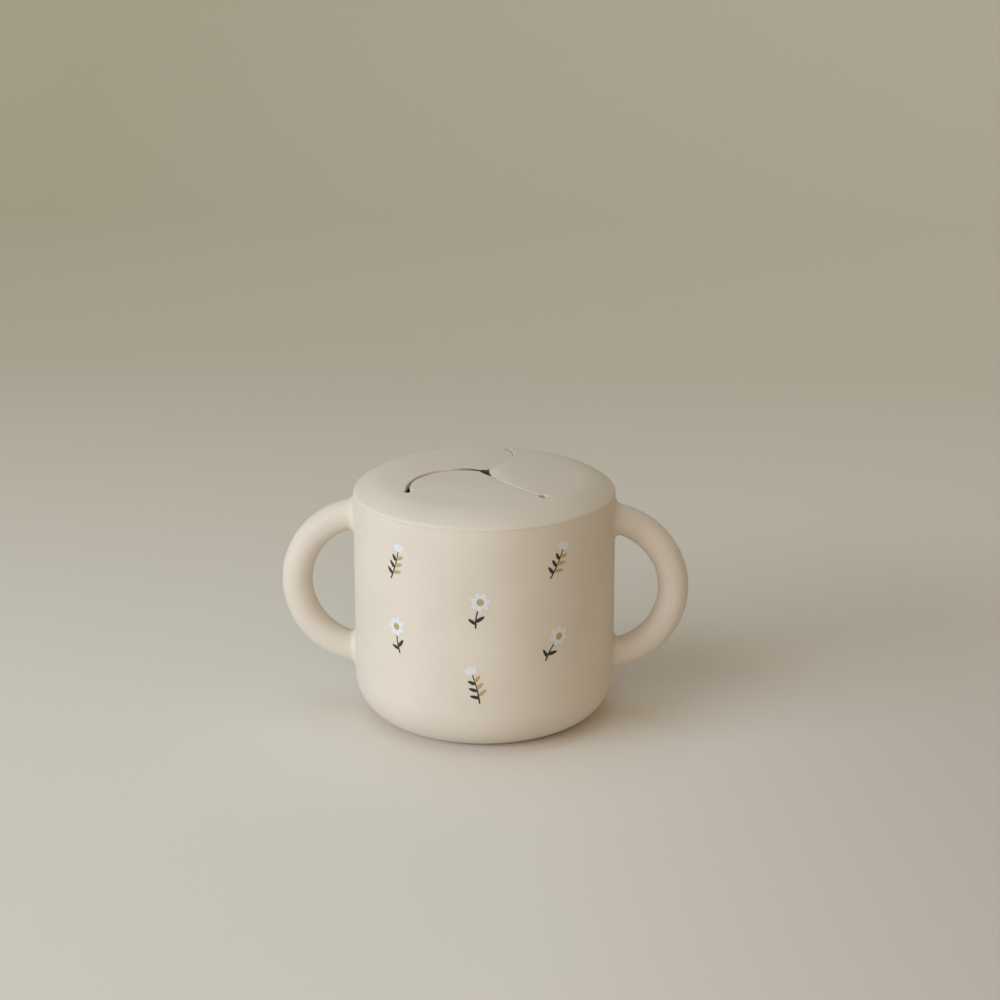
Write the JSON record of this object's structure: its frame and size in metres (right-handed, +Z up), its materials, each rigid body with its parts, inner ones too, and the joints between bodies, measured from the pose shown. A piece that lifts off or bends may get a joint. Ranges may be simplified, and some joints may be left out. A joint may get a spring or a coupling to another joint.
{
  "type": "toddler snack container",
  "caption": "Soft silicone snack cup with ring handles on both sides and a domed press-in lid whose bowed slits leave soft flaps for a small hand.",
  "frame": {"origin": "middle of the cup's flat foot", "axes": "+Z up the cup's axis, X through the two handles, -Y towards the printed front"},
  "size_m": [0.1334, 0.085, 0.0832],
  "materials": {
    "cup_silicone": "matte soft-touch moulded silicone",
    "lid_silicone": "matte soft-touch moulded silicone"
  },
  "bodies": {
    "cup": {"cup_body": "cup_silicone", "handle_left": "cup_silicone", "handle_right": "cup_silicone"},
    "lid": {"lid_ring": "lid_silicone"},
    "flap_front": {"flap_front": "lid_silicone"},
    "flap_right": {"flap_right": "lid_silicone"},
    "flap_left": {"flap_left": "lid_silicone"}
  },
  "joints": [
    {"name": "lid_lift", "type": "slide", "parent": "cup", "child": "lid", "axis": [0, 0, 1], "range_m": [0, 0.05]},
    {"name": "flap_front_bend", "type": "hinge", "parent": "lid", "child": "flap_front", "pos_m": [-0.00127, -0.0208, 0.08069], "axis": [-0.9981, 0.061, 0], "range_deg": [-50, 65], "stiffness_Nm_per_rad": 0.02},
    {"name": "flap_right_bend", "type": "hinge", "parent": "lid", "child": "flap_right", "pos_m": [0.01311, 0.00364, 0.08097], "axis": [0.2675, -0.9635, 0], "range_deg": [-50, 65], "stiffness_Nm_per_rad": 0.02},
    {"name": "flap_left_bend", "type": "hinge", "parent": "lid", "child": "flap_left", "pos_m": [-0.00966, 0.00754, 0.08111], "axis": [0.6152, 0.7883, 0], "range_deg": [-50, 65], "stiffness_Nm_per_rad": 0.02}
  ]
}
